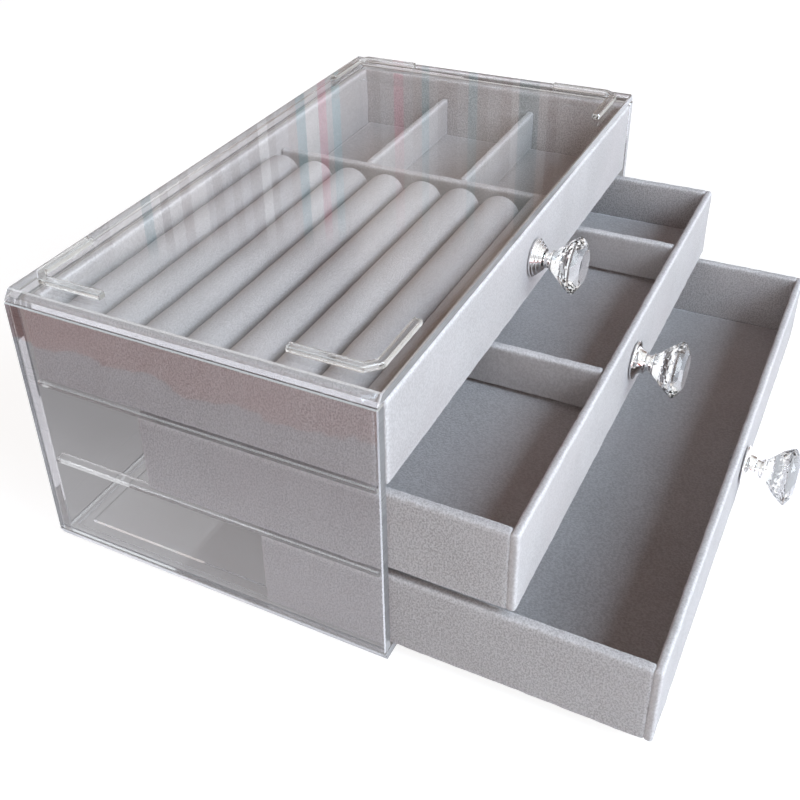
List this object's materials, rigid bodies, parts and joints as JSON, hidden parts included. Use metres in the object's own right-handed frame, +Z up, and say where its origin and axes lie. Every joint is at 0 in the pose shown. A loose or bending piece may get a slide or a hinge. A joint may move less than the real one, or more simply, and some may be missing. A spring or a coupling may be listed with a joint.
{
  "type": "tiered jewelry box",
  "caption": "Clear plastic jewelry box with velvet drawers that slide on side ledges, faceted crystal knobs, padded ring rolls, divided bays and corner guides for stacking.",
  "frame": {"origin": "centre of the flat underside of the clear case", "axes": "+Z up, +X along the case towards its right end as seen from the drawer fronts, and the drawers pull out along -Y"},
  "size_m": [0.24, 0.2308, 0.1046],
  "materials": {
    "clear_plate": "clear polished sheet with bright cut edges",
    "velvet": "short-pile light grey velvet wrapped over board and foam",
    "polished_chrome": "mirror-bright plated metal",
    "cut_crystal": "clear, cut in flat facets",
    "screw_steel": "plain steel screw"
  },
  "bodies": {
    "case": {"bottom_panel": "clear_plate", "left_wall": "clear_plate", "right_wall": "clear_plate", "back_wall": "clear_plate", "top_panel": "clear_plate", "runner_left_lower": "clear_plate", "runner_left_upper": "clear_plate", "runner_right_lower": "clear_plate", "runner_right_upper": "clear_plate", "guide_front_left": "clear_plate", "guide_front_right": "clear_plate", "guide_back_left": "clear_plate", "guide_back_right": "clear_plate"},
    "bottom_drawer": {"bottom_front_board": "velvet", "bottom_left_board": "velvet", "bottom_right_board": "velvet", "bottom_back_board": "velvet", "bottom_base_board": "velvet", "bottom_knob_base": "polished_chrome", "bottom_knob_stem": "polished_chrome", "bottom_knob_head": "cut_crystal", "bottom_knob_screw": "screw_steel"},
    "middle_drawer": {"middle_front_board": "velvet", "middle_left_board": "velvet", "middle_right_board": "velvet", "middle_back_board": "velvet", "middle_base_board": "velvet", "middle_knob_base": "polished_chrome", "middle_knob_stem": "polished_chrome", "middle_knob_head": "cut_crystal", "middle_knob_screw": "screw_steel", "middle_raised_floor": "velvet", "middle_divider_left": "velvet", "middle_divider_right": "velvet"},
    "top_drawer": {"top_front_board": "velvet", "top_left_board": "velvet", "top_right_board": "velvet", "top_back_board": "velvet", "top_base_board": "velvet", "top_knob_base": "polished_chrome", "top_knob_stem": "polished_chrome", "top_knob_head": "cut_crystal", "top_knob_screw": "screw_steel", "top_partition": "velvet", "top_divider_front": "velvet", "top_divider_back": "velvet", "top_ring_bed": "velvet", "top_ring_roll_1": "velvet", "top_ring_roll_2": "velvet", "top_ring_roll_3": "velvet", "top_ring_roll_4": "velvet", "top_ring_roll_5": "velvet", "top_ring_roll_6": "velvet", "top_ring_roll_7": "velvet"}
  },
  "joints": [
    {"name": "bottom_drawer_slide", "type": "slide", "parent": "case", "child": "bottom_drawer", "axis": [0, -1, 0], "range_m": [-0.0815, 0.0305]},
    {"name": "middle_drawer_slide", "type": "slide", "parent": "case", "child": "middle_drawer", "axis": [0, -1, 0], "range_m": [-0.039, 0.073]},
    {"name": "top_drawer_slide", "type": "slide", "parent": "case", "child": "top_drawer", "axis": [0, -1, 0], "range_m": [0, 0.112]}
  ]
}
